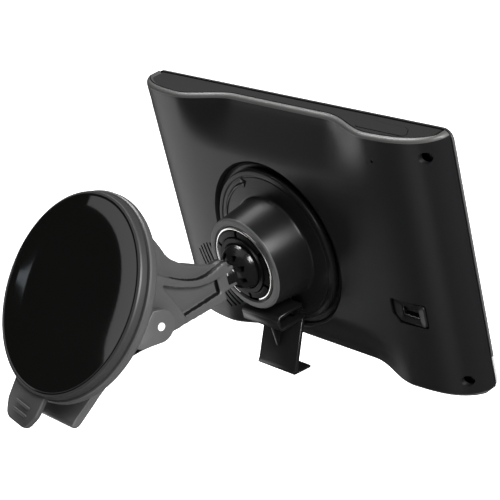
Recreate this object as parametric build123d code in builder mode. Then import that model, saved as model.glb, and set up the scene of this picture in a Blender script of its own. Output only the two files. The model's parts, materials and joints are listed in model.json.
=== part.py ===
from build123d import *
from math import cos, degrees, pi, radians, sin, sqrt
import os

os.makedirs("parts", exist_ok=True)

# Portable GPS navigator on a windscreen suction mount, in millimetres. The origin is the
# centre of the suction face, +Z is up, +Y looks at the windscreen and -Y at the driver.

# ------------------------------------------------------------ driving dimensions
# suction mount, in the cup's own frame: a along the cup axis, v up the suction face
cup_tilt = 40.8            # cup axis above the horizontal
pad_radius = 32.0          # rubber suction pad
pad_rim = 3.0              # thickness of the pad at its edge
tab_turn = -8.0            # the pull tab sits this far off the bottom, towards +X
tab_width = 18.0
tab_reach = 43.0           # tab tip from the cup axis
base_radius = 33.2
ball_a = -65.8             # ball centre in the cup's frame
ball_v = 25.6
pin_a = -30.8              # cam lever pin
pin_v = -1.4
pin_radius = 1.3
stem_radius = 4.0
seat_a = -23.3             # face that the cam presses on
cam_radius = 5.5
cam_offset = 2.0
cam_lead = 30.0            # the cam's centre starts this far past the cup axis
lever_half = 10.3          # half width of the cam lever
wall_half = 6.8            # half width of the arm's flanges and of the lever's bearing walls

# ball joint, in the dock's frame: depths from the navigator's front glass plane
ball_radius = 8.25
ball_depth = 28.2
ball_drop = 4.7            # ball axis below the navigator's middle
shell_gap = 0.3            # between the nested spherical shells
liner_wall = 1.5
lip_depth = 30.0
rim_depth = 29.0
collar_rim = 16.3
collar_base = 17.6
collar_bore = 13.55
ring_radius = 12.9         # retaining ring, centre line
ring_wire = 0.6
ring_depth = 28.5
ring_gap = 43.0            # open angle of the ring
disc_radius = 27.4
disc_front = 12.5
disc_back = 14.9
recess_radius = 29.8
recess_floor = 12.1

# release latch, d from the front glass plane, w from the ball axis
latch_half = 9.2
latch_d = 18.6             # latch pin
latch_w = -21.6
latch_pin_radius = 0.8

# navigator body
width = 140.0
height = 89.3
corner = 3.6
offset_x = -8.1            # navigator's middle from the mount's middle plane
bezel_depth = 1.2
full_depth = 14.1
wall = 2.0
skin_half = 70.3           # half width at which the rear skin would meet the bezel
waist_depth = 6.4          # how far the top and bottom edges are scooped in
waist_flat = 22.0          # half width of the scoop's flat floor
waist_end = 46.0           # half width at which the scoop has run out
waist_start = 26.0         # height above the middle where the scoop starts
band = 2.2                 # rim of the rear cover around the top and bottom panels
screw_u = 65.9
screw_v = 38.5

# ------------------------------------------------------------ frames
tilt_c = cos(radians(cup_tilt))
tilt_s = sin(radians(cup_tilt))
ball_y = ball_a * tilt_c - ball_v * tilt_s
ball_z = ball_a * tilt_s + ball_v * tilt_c
front_y = ball_y - ball_depth
middle_z = ball_z + ball_drop

CUP = Plane(origin=(0, 0, 0), x_dir=(-1, 0, 0), z_dir=(0, tilt_c, tilt_s))
CUP_MID = Plane(origin=(0, 0, 0), x_dir=(0, tilt_c, tilt_s), z_dir=(1, 0, 0))
CUP_AXIS = Axis((0, 0, 0), (0, tilt_c, tilt_s))
ARM_MID = Plane(origin=(0, ball_y, ball_z), x_dir=(0, 1, 0), z_dir=(1, 0, 0))
DOCK = Plane(origin=(0, front_y, ball_z), x_dir=(-1, 0, 0), z_dir=(0, 1, 0))
DOCK_MID = Plane(origin=(0, front_y, ball_z), x_dir=(0, 1, 0), z_dir=(1, 0, 0))
DOCK_AXIS = Axis((0, front_y, ball_z), (0, 1, 0))
REAR = Plane(origin=(offset_x, front_y, middle_z), x_dir=(-1, 0, 0), z_dir=(0, 1, 0))
TOP = Plane(origin=(offset_x, front_y, middle_z), x_dir=(1, 0, 0), z_dir=(0, 0, 1))


def cup_point(a, v, x=0):
    """World point from the cup's frame."""
    return Vector(x, a * tilt_c - v * tilt_s, a * tilt_s + v * tilt_c)


def smooth(t):
    """Smooth step from 0 to 1."""
    t = max(0.0, min(1.0, t))
    return t * t * (3 - 2 * t)


def rear_depth(x, z):
    """Depth of the rear skin behind the glass, with its scooped top and bottom edges."""
    side = max(0.0, 1 - (abs(x) / skin_half) ** 8)
    full = bezel_depth + (full_depth - bezel_depth) * sqrt(side)
    across = smooth((waist_end - abs(x)) / (waist_end - waist_flat))
    along = smooth((abs(z) - waist_start) / (height / 2 - waist_start))
    return full - waist_depth * across * along


def rear_skin(shrink, drop, columns=49, rows=29):
    """Spline face through the rear skin, narrowed by shrink and brought forward by drop."""
    grid = []
    for row in range(rows):
        z = (2 * row / (rows - 1) - 1) * (height / 2 + 4)
        line = []
        for column in range(columns):
            s = 2 * column / (columns - 1) - 1
            x = skin_half * sin(pi * s / 2)
            depth = rear_depth(x, z * height / (height - 2 * shrink)) - drop
            line.append((offset_x + x * (1 - shrink / skin_half), front_y + depth, middle_z + z))
        grid.append(line)
    return Face.make_surface_from_array_of_points(grid, tol=0.01)


def edge_curve(inset, half):
    """Points of the scooped edge in plan, from -half to half, inset from the outer skin."""
    count = 25
    points = []
    for i in range(count):
        x = half * (2 * i / (count - 1) - 1)
        points.append((x, rear_depth(x, height / 2) - inset))
    return points


def save(part, label):
    """Label a finished piece and write it."""
    part.label = label
    export_step(part, f"parts/{label}.step")


# ------------------------------------------------------------ suction mount
pocket_radius = 10.6
pocket_a = (-7.3, -3.6)
boss_radius = 13.0

with BuildPart() as suction_pad:
    with BuildSketch(CUP_MID):
        with BuildLine():
            Line((0, 0), (0, pad_radius - 0.8))
            Line((0, pad_radius - 0.8), (-0.6, pad_radius))
            Line((-0.6, pad_radius), (-pad_rim, pad_radius + 0.4))
            Line((-pad_rim, pad_radius + 0.4), (-pad_rim, boss_radius))
            Line((-pad_rim, boss_radius), (-8.6, boss_radius))
            Line((-8.6, boss_radius), (-8.6, stem_radius + 0.4))
            Line((-8.6, stem_radius + 0.4), (pocket_a[0], stem_radius + 0.4))
            Line((pocket_a[0], stem_radius + 0.4), (pocket_a[0], pocket_radius))
            Line((pocket_a[0], pocket_radius), (pocket_a[1], pocket_radius))
            Line((pocket_a[1], pocket_radius), (pocket_a[1], 0))
            Line((pocket_a[1], 0), (0, 0))
        make_face()
    revolve(axis=CUP_AXIS)
    tab_start = pad_radius - 2
    with BuildSketch(CUP.offset(-pad_rim)):
        with Locations(Location((0, 0, 0), (0, 0, tab_turn))):
            with Locations((0, -(tab_start + tab_reach) / 2)):
                RectangleRounded(tab_width, tab_reach - tab_start, 5)
    extrude(amount=2.0)
    with BuildSketch(CUP.offset(-pad_rim + 2.0)):
        with Locations(Location((0, 0, 0), (0, 0, tab_turn))):
            with Locations((0, 3.5 - tab_reach), (0, 5.9 - tab_reach)):
                SlotOverall(8, 0.9)
    extrude(amount=0.5)
save(suction_pad.part, "suction_pad")

seat_half = 12.0
cavity_radius = stem_radius + 0.4

with BuildPart() as mount_base:
    with BuildSketch(CUP_MID):
        with BuildLine():
            Polyline((-9.0, 0), (-9.0, boss_radius + 0.6), (-3.4, boss_radius + 0.6), (-3.4, 31.4),
                     (-3.4, base_radius - 0.4), (-3.8, base_radius), (-5.6, base_radius))
            Spline((-5.6, base_radius), (-8.6, 25.0), (-13.0, 16.0), tangents=[(-0.4, -1), (-1, -1)])
            Polyline((-13.0, 16.0), (-13.0, 0), (-9.0, 0))
        make_face()
    revolve(axis=CUP_AXIS)
    # bearing walls for the lever, with the cam seat on their end
    with BuildSketch(CUP.offset(-12.5)):
        with Locations((0, 1.5)):
            Rectangle(2 * seat_half, 15)
    extrude(amount=seat_a + 12.5)
    with BuildSketch(CUP_MID):
        Polygon((-15, 14.0), (-24.3, 14.0), (-33, 13.6), (-41, 15), (-42, 2), (-38.7, -2.9),
                (-33, -6.2), (-15, -7), align=None)
    extrude(amount=wall_half, both=True)
    # lower flange, rail and end plate of the arm, in the ball's frame
    with BuildSketch(ARM_MID):
        Polygon((12.8, -6.4), (40, -3.6), (40, -0.9), (12.8, -3.0), align=None)
        Polygon((12.8, -6.4), (14.8, -6.2), (14.8, 4.4), (12.8, 4.4), align=None)
        with BuildLine():
            rail = Spline((9, 6.2), (15.4, 5.5), (24.5, 7.4), (32.6, 12.4), (41, 20))
            rail_low = Spline((9.6, 2.6), (16.3, 2.9), (23.2, 4.8), (34.2, 11.0), (42.5, 17.6))
            Line(rail @ 0, rail_low @ 0)
            Line(rail @ 1, rail_low @ 1)
        make_face()
    extrude(amount=wall_half, both=True)
    # web between the flanges and the crest that rises into the base
    with BuildSketch(ARM_MID):
        with BuildLine():
            crest = Spline((10, 4.6), (16.2, 7.8), (24.6, 12.6), (30.9, 18.9), (36.5, 28.5), (39, 36))
            Polyline(crest @ 1, (60, 36), (58, 12), (34, -2.5), (15, -2.5), (10, -2.5), crest @ 0)
        make_face()
    extrude(amount=3.0, both=True)
    # the arm narrows towards the ball
    with BuildSketch(Plane(origin=(0, ball_y, ball_z - 12), x_dir=(1, 0, 0), z_dir=(0, 0, 1))):
        for side in (1, -1):
            Polygon((side * 2.6, 8), (side * 12, 8), (side * 12, 34), (side * wall_half, 34), align=None)
    extrude(amount=40, mode=Mode.SUBTRACT)
    # neck and ball
    with BuildSketch(Plane(origin=(0, ball_y, ball_z), x_dir=(-1, 0, 0), z_dir=(0, 1, 0))):
        Circle(4.8)
    extrude(amount=15.5, taper=-3)
    with Locations((0, ball_y, ball_z)):
        Sphere(ball_radius)
    # nothing stands in front of the pad side or in the plunger's path
    with BuildSketch(CUP.offset(-9.0)):
        Circle(boss_radius + 0.6)
    extrude(amount=12, mode=Mode.SUBTRACT)
    with BuildSketch(CUP.offset(-3.4)):
        Circle(60)
    extrude(amount=40, mode=Mode.SUBTRACT)
    with BuildSketch(CUP.offset(-9.0)):
        Circle(7.0)
    extrude(amount=-6, mode=Mode.SUBTRACT)
    with BuildSketch(CUP.offset(-9.0)):
        Circle(cavity_radius)
    extrude(amount=pin_a + 3.2, mode=Mode.SUBTRACT)
    # slot that lets the lever pin travel with the plunger
    with BuildSketch(CUP_MID):
        with Locations((pin_a + 0.9, pin_v)):
            SlotOverall(2 * pin_radius + 3.2, 2 * pin_radius + 1.0)
    extrude(amount=wall_half + 1, both=True, mode=Mode.SUBTRACT)
save(mount_base.part, "mount_base")

with BuildPart() as plunger:
    with BuildSketch(CUP.offset(-7.1)):
        Circle(9.8)
    extrude(amount=1.6)
    with BuildSketch(CUP.offset(-7.1)):
        Circle(stem_radius)
    extrude(amount=pin_a - 3.6 + 7.1)
    with BuildSketch(CUP_MID):
        with Locations((pin_a, pin_v)):
            Circle(pin_radius)
    extrude(amount=stem_radius + 1, both=True, mode=Mode.SUBTRACT)
save(plunger.part, "plunger")

spring_radius = 5.6
spring_wire = 0.45
with BuildPart() as plunger_spring:
    with BuildLine():
        coil = Helix(pitch=1.5, height=5.4, radius=spring_radius, center=cup_point(-14.4, 0),
                     direction=(0, tilt_c, tilt_s))
    with BuildSketch(Plane(origin=coil @ 0, z_dir=coil % 0)):
        Circle(spring_wire)
    sweep()
save(plunger_spring.part, "plunger_spring")

with BuildPart() as lever_pin:
    with BuildSketch(Plane(origin=cup_point(pin_a, pin_v), x_dir=(0, 1, 0), z_dir=(1, 0, 0))):
        Circle(pin_radius)
    extrude(amount=lever_half + 0.25, both=True)
save(lever_pin.part, "lever_pin")

ear = 3.0                  # thickness of the lever's ears
cam_a = pin_a + cam_offset * cos(radians(cam_lead))
cam_v = pin_v - cam_offset * sin(radians(cam_lead))
with BuildPart() as cam_lever:
    with BuildSketch(CUP_MID):
        with Locations((cam_a, cam_v)):
            Circle(cam_radius)
        with Locations((pin_a, pin_v)):
            Circle(cam_radius)
        # flat side plates that carry on into the thumb plate
        Polygon((-35.4, -3.6), (-33.4, -6.0), (-29.8, -8.2), (-26.4, -10.4), (-23.4, -12.9), (-21.4, -17.0),
                (-19.0, -13.6), (-20.8, -10.0), (-24.0, -7.6), (-25.2, -2.0), (-26.0, 2.4), (-29.8, 4.0),
                align=None)
    extrude(amount=lever_half, both=True)
    with BuildSketch(CUP_MID):
        with Locations((pin_a + 5, 2.6)):
            Rectangle(34, 24)
    extrude(amount=lever_half - ear, both=True, mode=Mode.SUBTRACT)
    with BuildSketch(CUP_MID):
        with BuildLine():
            outer = Spline((-26.4, -10.2), (-23.4, -12.8), (-21.1, -16.9), (-16.7, -26.0), (-12.9, -36.1))
            inner = Spline((-20.8, -10.2), (-19.3, -13.8), (-17.9, -17.5), (-13.7, -26.2), (-9.7, -36.0))
            Line(outer @ 0, inner @ 0)
            Polyline(outer @ 1, (-12.2, -37.6), (-10.6, -38.3), (-8.7, -37.9), inner @ 1)
        make_face()
    extrude(amount=lever_half, both=True)
    with BuildSketch(CUP_MID):
        with Locations((pin_a, pin_v)):
            Circle(pin_radius)
    extrude(amount=lever_half + 1, both=True, mode=Mode.SUBTRACT)
save(cam_lever.part, "cam_lever")

# ------------------------------------------------------------ ball joint
liner_in = ball_radius + shell_gap
liner_out = liner_in + liner_wall
insert_in = liner_out + shell_gap
insert_radius = 13.2
below = 17.1               # underside of the nested shells


def shell_cup(inner, outer, low, high):
    """Half section of a spherical shell about the ball, cut square at depths low and high."""
    with BuildSketch(DOCK_MID) as section:
        with Locations((ball_depth, 0)):
            Circle(outer)
            Circle(inner, mode=Mode.SUBTRACT)
        with Locations(((low + high) / 2, 15)):
            Rectangle(high - low, 30, mode=Mode.INTERSECT)
    return section.sketch


with BuildPart() as ball_liner:
    add(shell_cup(liner_in, liner_out, ball_depth - liner_in + 1.2, lip_depth))
    revolve(axis=DOCK_AXIS)
save(ball_liner.part, "ball_liner")

with BuildPart() as socket_insert:
    with BuildSketch(DOCK_MID):
        Polygon((below - 0.4, 0), (below - 0.4, insert_radius), (ring_depth - 0.8, insert_radius),
                (ring_depth - 0.8, 12.2), (ring_depth + 0.7, 12.2), (lip_depth - 0.6, 10.8),
                (lip_depth - 0.6, 0), align=None)
    revolve(axis=DOCK_AXIS)
    with Locations((0, ball_y, ball_z)):
        Sphere(insert_in, mode=Mode.SUBTRACT)
    # relief slots that let the fingers spring over the liner
    with BuildSketch(DOCK.offset(below + 5)):
        with PolarLocations(11, 6, start_angle=30):
            Rectangle(6, 1.2)
    extrude(amount=12, mode=Mode.SUBTRACT)
save(socket_insert.part, "socket_insert")

with BuildPart() as retaining_ring:
    with BuildSketch(DOCK_MID):
        with Locations((ring_depth, ring_radius)):
            Circle(ring_wire)
    revolve(axis=DOCK_AXIS, revolution_arc=360 - ring_gap)
ring_turned = retaining_ring.part.rotate(DOCK_AXIS, 180 + ring_gap / 2 - 3.5)
save(ring_turned, "retaining_ring")

lug_x = (4.4, 7.2)         # inner and outer side of the lugs
lug_radius = 1.45
with BuildPart() as dock_plate:
    with BuildSketch(DOCK.offset(disc_front)):
        Circle(disc_radius)
    extrude(amount=disc_back - disc_front)
    with BuildSketch(DOCK_MID):
        with BuildLine():
            Polyline((disc_back - 0.2, collar_base + 1.2), (disc_back + 0.3, collar_base + 0.4),
                     (disc_back + 1.2, collar_base - 0.3), (rim_depth - 0.6, collar_rim + 0.1),
                     (rim_depth, collar_rim - 0.4), (rim_depth, collar_bore), (below - 0.7, collar_bore),
                     (below - 0.7, 0), (disc_back - 0.2, 0), (disc_back - 0.2, collar_base + 1.2))
        make_face()
    revolve(axis=DOCK_AXIS)
    # room for the release latch under the collar
    with BuildSketch(DOCK_MID):
        Polygon((disc_back, -26.5), (disc_back, -18.4), (disc_back + 5, -17.7), (rim_depth + 1, -17.0),
                (rim_depth + 1, -26.5), align=None)
    extrude(amount=latch_half + 0.6, both=True, mode=Mode.SUBTRACT)
    # lugs for the latch pin
    with BuildSketch(DOCK_MID):
        with Locations((latch_d, latch_w)):
            Circle(lug_radius)
        Polygon((disc_back - 0.4, latch_w - 1.0), (latch_d, latch_w - lug_radius),
                (latch_d, latch_w + lug_radius), (disc_back - 0.4, latch_w + lug_radius), align=None)
        with Locations((latch_d, latch_w)):
            Circle(latch_pin_radius, mode=Mode.SUBTRACT)
    extrude(amount=lug_x[1], both=True)
    with BuildSketch(DOCK_MID):
        Polygon((disc_back, latch_w - 2.1), (disc_back, latch_w + 2.1), (latch_d + 6, latch_w + 2.1),
                (latch_d + 6, latch_w - 2.1), align=None)
    extrude(amount=lug_x[0], both=True, mode=Mode.SUBTRACT)
save(dock_plate.part, "dock_plate")

with BuildPart() as latch_pin:
    with BuildSketch(DOCK_MID):
        with Locations((latch_d, latch_w)):
            Circle(latch_pin_radius)
    extrude(amount=lug_x[1] + 0.6, both=True)
save(latch_pin.part, "latch_pin")

shelf_d = (disc_back + 1.4, 27.8)
shelf_top = -18.9
shelf_bottom = -24.6
sheet = 1.2                # wall of the latch moulding
with BuildPart() as release_latch:
    with BuildSketch(DOCK_MID):
        # channel open towards the disc
        Polygon((shelf_d[0], shelf_top - sheet), (shelf_d[0], shelf_top), (shelf_d[1] - 1.2, shelf_top),
                (shelf_d[1], shelf_top - 1.2), (shelf_d[1], shelf_bottom + 1.2),
                (shelf_d[1] - 1.2, shelf_bottom), (shelf_d[0], shelf_bottom),
                (shelf_d[0], shelf_bottom + sheet), (shelf_d[1] - 1.6, shelf_bottom + sheet),
                (shelf_d[1] - 1.2, shelf_bottom + 1.8), (shelf_d[1] - 1.2, shelf_top - 1.8),
                (shelf_d[1] - 1.6, shelf_top - sheet), align=None)
        # leaning plate and foot
        Polygon((17.4, shelf_bottom + 0.4), (25.6, -40.1), (26.6, -41.2), (26.0, -42.0), (18.6, -42.9),
                (18.4, -42.0), (24.4, -41.0), (16.3, shelf_bottom), (16.5, shelf_bottom + 0.4), align=None)
    extrude(amount=latch_half, both=True)
    # knuckle on the pin, tied to the channel's web
    with BuildSketch(DOCK_MID):
        with Locations((latch_d, latch_w)):
            Circle(1.8)
        Polygon((latch_d, latch_w - 1.1), (shelf_d[1] - 0.8, latch_w - 1.1),
                (shelf_d[1] - 0.8, latch_w + 1.1), (latch_d, latch_w + 1.1), align=None)
    extrude(amount=lug_x[0] - 0.3, both=True)
    with BuildSketch(DOCK_MID):
        with Locations((latch_d, latch_w)):
            Circle(latch_pin_radius + 0.04)
    extrude(amount=latch_half, both=True, mode=Mode.SUBTRACT)
    # gusset between the channel and the plate
    with BuildSketch(DOCK_MID):
        Polygon((18.4, shelf_bottom + 0.2), (23.8, shelf_bottom + 0.2), (23.8, -34.0), align=None)
    extrude(amount=0.6, both=True)
save(release_latch.part, "release_latch")

# ------------------------------------------------------------ navigator housing
usb_u = 50.0               # socket, seen from behind: u to the right, v up
usb_v = -16.2
port_floor = 11.7
speaker_angle = 209.3      # loudspeaker, seen from behind, about the dock's axis
speaker_reach = 43.3
grille_radius = 12.7       # round field that the curved slots fill
grille_pitch = 2.2
grille_slot = 0.9
button_u = 47.9
mic = (47.3, 36.0)
panel_gap = 0.15
panel_top = height / 2 - 0.5
panel_thick = 1.6
dock_u = offset_x
dock_v = -ball_drop
speaker_u = dock_u + speaker_reach * cos(radians(speaker_angle))
speaker_v = dock_v + speaker_reach * sin(radians(speaker_angle))
panel_half = width / 2 - 3.4
post_top = 3.5             # top of the bezel's screw posts
head_seat = 5.4              # case screw heads
head_radius = 1.6
well_radius = 1.9


def panel_outline(inset, front, half):
    """Plan of the top panel: straight at the front, following the scooped edge at the back."""
    with BuildSketch(Plane.XY) as plan:
        with BuildLine():
            back = Spline(*edge_curve(inset, half))
            Line(back @ 1, (half, front))
            Line((half, front), (-half, front))
            Line((-half, front), back @ 0)
        make_face()
    return plan.sketch


cover_core_half = width / 2 - wall
with BuildPart() as cover_core:
    with BuildSketch(REAR.offset(-1)):
        RectangleRounded(2 * cover_core_half, height - 2 * wall, corner - wall)
    extrude(amount=26)
    split(bisect_by=rear_skin(wall, wall), keep=Keep.BOTTOM)
    # wall left behind the dock recess, the socket and the screws
    with BuildSketch(REAR.offset(recess_floor - 1.6)):
        with Locations((dock_u, dock_v)):
            Circle(recess_radius + 1.6)
        with Locations((usb_u, usb_v)):
            RectangleRounded(17.6, 11.6, 2)
    extrude(amount=20, mode=Mode.SUBTRACT)
    with BuildSketch(REAR.offset(post_top + 0.1)):
        with GridLocations(2 * screw_u, 2 * screw_v, 2, 2):
            Circle(3.4)
    extrude(amount=30, mode=Mode.SUBTRACT)
    with BuildSketch(REAR.offset(0)):
        with GridLocations(2 * screw_u, 2 * screw_v, 2, 2):
            Circle(2.2)
    extrude(amount=post_top + 0.1)

with BuildPart() as rear_cover:
    with BuildSketch(REAR.offset(bezel_depth)):
        RectangleRounded(width, height, corner)
    extrude(amount=24)
    split(bisect_by=rear_skin(0, 0), keep=Keep.BOTTOM)
    add(cover_core.part, mode=Mode.SUBTRACT)
    # recess for the dock, with a pocket under the latch
    with BuildSketch(REAR.offset(recess_floor)):
        with Locations((dock_u, dock_v)):
            Circle(recess_radius)
    extrude(amount=10, mode=Mode.SUBTRACT)
    # socket recess and its opening
    with BuildSketch(REAR.offset(port_floor)):
        with Locations((usb_u, usb_v)):
            RectangleRounded(14.4, 8.4, 1.6)
    extrude(amount=10, mode=Mode.SUBTRACT)
    with BuildSketch(REAR.offset(5)):
        with Locations((usb_u, usb_v)):
            Rectangle(8.3, 4.5)
    extrude(amount=10, mode=Mode.SUBTRACT)
    # case screw holes, counterbored
    with BuildSketch(REAR.offset(-1)):
        with GridLocations(2 * screw_u, 2 * screw_v, 2, 2):
            Circle(1.3)
    extrude(amount=20, mode=Mode.SUBTRACT)
    with BuildSketch(REAR.offset(head_seat)):
        with GridLocations(2 * screw_u, 2 * screw_v, 2, 2):
            Circle(well_radius)
    extrude(amount=20, mode=Mode.SUBTRACT)
    # loudspeaker slots
    with BuildSketch(REAR.offset(8)):
        for row in range(-2, 3):
            reach = speaker_reach + row * grille_pitch
            half_angle = degrees(sqrt(grille_radius ** 2 - (row * grille_pitch) ** 2) / reach)
            with BuildLine() as slot_line:
                CenterArc((dock_u, dock_v), reach, speaker_angle - half_angle, 2 * half_angle)
            SlotArc(slot_line.edge(), grille_slot)
    extrude(amount=10, mode=Mode.SUBTRACT)
    # microphone hole
    with BuildSketch(REAR.offset(6)):
        with Locations(mic):
            Circle(0.5)
    extrude(amount=12, mode=Mode.SUBTRACT)
    # openings for the top and bottom panels
    opening = panel_outline(band, -1, panel_half)
    with BuildSketch(TOP.offset(height / 2 - 3.5)):
        add(opening)
    extrude(amount=6, mode=Mode.SUBTRACT)
    with BuildSketch(TOP.offset(-height / 2 + 3.5)):
        add(opening)
    extrude(amount=-6, mode=Mode.SUBTRACT)
save(rear_cover.part, "rear_cover")

button_front = 4.1
with BuildSketch(Plane.XY) as button_plan:
    Polygon((-6.2, button_front), (6.2, button_front), (8.4, 5.2), (10.6, 8.2), (9.6, 9.2), (-9.6, 9.2),
            (-10.6, 8.2), (-8.4, 5.2), align=None)
    fillet(button_plan.vertices(), 0.7)
with BuildSketch(Plane.XY) as button_hole:
    add(button_plan.sketch)
    offset(amount=0.2)

# the panels carry a shallow skirt that drops inside the cover
panel_plan = panel_outline(band + panel_gap, bezel_depth + 0.1, panel_half - panel_gap)
with BuildPart() as top_panel:
    with BuildSketch(TOP.offset(panel_top)):
        add(panel_plan)
    extrude(amount=-panel_thick)
    with BuildSketch(TOP.offset(panel_top)):
        with Locations((-button_u, 0)):
            add(button_hole.sketch)
    extrude(amount=-4, mode=Mode.SUBTRACT)
save(top_panel.part, "top_panel")

with BuildPart() as bottom_panel:
    with BuildSketch(TOP.offset(-panel_top)):
        add(panel_plan)
    extrude(amount=panel_thick)
save(bottom_panel.part, "bottom_panel")

with BuildPart() as power_button:
    with BuildSketch(TOP.offset(panel_top + 0.1)):
        with Locations((-button_u, 0)):
            add(button_plan.sketch)
    extrude(amount=-panel_thick - 0.3)
    with BuildSketch(TOP.offset(panel_top - panel_thick - 0.1)):
        with Locations((-button_u, 7.0)):
            Rectangle(22.0, 4.4)
    extrude(amount=-0.8)
    with BuildSketch(TOP.offset(panel_top - panel_thick - 0.8)):
        with Locations((-button_u, 7.4)):
            Rectangle(3, 2)
    extrude(amount=-0.8)
save(power_button.part, "power_button")

glass = (127.5, 77.0, 1.1)
view_size = (111.0, 62.5)
with BuildPart() as front_bezel:
    with BuildSketch(REAR):
        RectangleRounded(width, height, corner)
        RectangleRounded(glass[0] + 0.3, glass[1] + 0.3, 3, mode=Mode.SUBTRACT)
    extrude(amount=bezel_depth)
    # ledge under the glass and the frame that stands inside the cover
    with BuildSketch(REAR.offset(glass[2] + 0.05)):
        RectangleRounded(width - 2 * wall - 1.6, height - 2 * wall - 0.6, corner - wall)
        RectangleRounded(view_size[0] + 4, view_size[1] + 4, 2, mode=Mode.SUBTRACT)
    extrude(amount=1.2)
    frame_front = 1.6
    with BuildSketch(REAR.offset(frame_front)):
        RectangleRounded(width - 2 * wall - 2.6, height - 7.6, corner - wall)
        RectangleRounded(width - 2 * wall - 5.2, height - 10.2, corner - wall - 1, mode=Mode.SUBTRACT)
    extrude(amount=post_top - frame_front)
    # screw posts
    with BuildSketch(REAR.offset(frame_front)):
        with GridLocations(2 * screw_u, 2 * screw_v, 2, 2):
            Circle(1.9)
    extrude(amount=post_top - frame_front)
    with BuildSketch(REAR.offset(bezel_depth)):
        with GridLocations(2 * screw_u, 2 * screw_v, 2, 2):
            Circle(0.95)
    extrude(amount=6, mode=Mode.SUBTRACT)
    fillet(front_bezel.faces().sort_by(Axis.Y)[0].outer_wire().edges(), 0.6)
save(front_bezel.part, "front_bezel")

with BuildPart() as case_screws:
    with BuildSketch(REAR.offset(head_seat + 0.02)):
        with GridLocations(2 * screw_u, 2 * screw_v, 2, 2):
            Circle(head_radius)
    extrude(amount=1.1)
    with BuildSketch(REAR.offset(head_seat + 1.12)):
        with GridLocations(2 * screw_u, 2 * screw_v, 2, 2):
            RegularPolygon(0.9, 6)
    extrude(amount=-0.7, mode=Mode.SUBTRACT)
    with BuildSketch(REAR.offset(head_seat + 0.02)):
        with GridLocations(2 * screw_u, 2 * screw_v, 2, 2):
            Circle(0.9)
    extrude(amount=-3.6)
save(case_screws.part, "case_screws")

# ------------------------------------------------------------ inside the navigator
board_depth = 6.5
board_thick = 1.0
board_back = board_depth + board_thick
board_u = (-34.0, 60.0)
board_v = 26.0
board_holes = ((-31, 23), (57, 23), (-22, -23), (57, -23))

with BuildPart() as touch_glass:
    with BuildSketch(REAR.offset(0.05)):
        RectangleRounded(glass[0], glass[1], 2.85)
    extrude(amount=glass[2])
save(touch_glass.part, "touch_glass")

with BuildPart() as display_panel:
    with BuildSketch(REAR.offset(1.25)):
        RectangleRounded(view_size[0] + 3.3, view_size[1] + 3.3, 1)
    extrude(amount=3.1)
save(display_panel.part, "display_panel")

chassis_front = 4.8
with BuildPart() as chassis:
    with BuildSketch(REAR.offset(chassis_front)):
        RectangleRounded(122, 71.6, 3)
        with Locations((-10, -30)):
            Rectangle(23, 3, mode=Mode.SUBTRACT)
    extrude(amount=0.8)
    with BuildSketch(REAR.offset(chassis_front + 0.8)):
        with Locations(*board_holes):
            Circle(2.2)
    extrude(amount=board_depth - chassis_front - 0.8)
    with BuildSketch(REAR.offset(chassis_front - 0.2)):
        with Locations(*board_holes):
            Circle(0.9)
    extrude(amount=4, mode=Mode.SUBTRACT)
save(chassis.part, "chassis")

with BuildPart() as main_board:
    with BuildSketch(REAR.offset(board_depth)):
        with Locations(((board_u[0] + board_u[1]) / 2, 0)):
            RectangleRounded(board_u[1] - board_u[0], 2 * board_v, 2)
        with Locations(*board_holes):
            Circle(1.0, mode=Mode.SUBTRACT)
    extrude(amount=board_thick)
save(main_board.part, "main_board")

with BuildPart() as board_screws:
    with BuildSketch(REAR.offset(board_back)):
        with Locations(*board_holes):
            Circle(1.9)
    extrude(amount=1.1)
    with BuildSketch(REAR.offset(board_back)):
        with Locations(*board_holes):
            Circle(0.85)
    extrude(amount=-2.9)
save(board_screws.part, "board_screws")

with BuildPart() as display_flex:
    with BuildSketch(Plane(origin=(offset_x + 10, front_y, middle_z), x_dir=(0, 1, 0), z_dir=(1, 0, 0))):
        Polygon((4.4, -31.6), (4.6, -31.6), (4.6, -29.1), (6.45, -29.1), (6.45, -24.0), (6.25, -24.0),
                (6.25, -28.9), (4.4, -28.9), align=None)
    extrude(amount=10, both=True)
save(display_flex.part, "display_flex")

with BuildPart() as shield_can:
    with BuildSketch(REAR.offset(board_back)):
        with Locations((8, 2)):
            RectangleRounded(34, 26, 1)
    extrude(amount=1.9)
    with BuildSketch(REAR.offset(board_back - 0.1)):
        with Locations((8, 2)):
            RectangleRounded(33.4, 25.4, 0.8)
    extrude(amount=1.7, mode=Mode.SUBTRACT)
save(shield_can.part, "shield_can")

with BuildPart() as gps_antenna:
    with BuildSketch(REAR.offset(board_back)):
        with Locations((44, 14)):
            RectangleRounded(18, 18, 0.6)
    extrude(amount=3.0)
    with BuildSketch(REAR.offset(board_back + 3.0)):
        with Locations((44.6, 13.6)):
            Circle(0.8)
    extrude(amount=0.3)
save(gps_antenna.part, "gps_antenna")

with BuildPart() as battery:
    with BuildSketch(REAR.offset(5.8)):
        with Locations((-47, 11)):
            RectangleRounded(20, 40, 1.5)
    extrude(amount=4.2)
    fillet(battery.edges().filter_by(Axis.Z), 1.0)
save(battery.part, "battery")

with BuildPart() as battery_plug:
    with BuildSketch(REAR.offset(board_back)):
        with Locations((-30.5, 12)):
            Rectangle(5, 7)
    extrude(amount=2.4)
    fillet(battery_plug.faces().sort_by(Axis.Y)[-1].edges(), 0.4)
save(battery_plug.part, "battery_plug")

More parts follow.
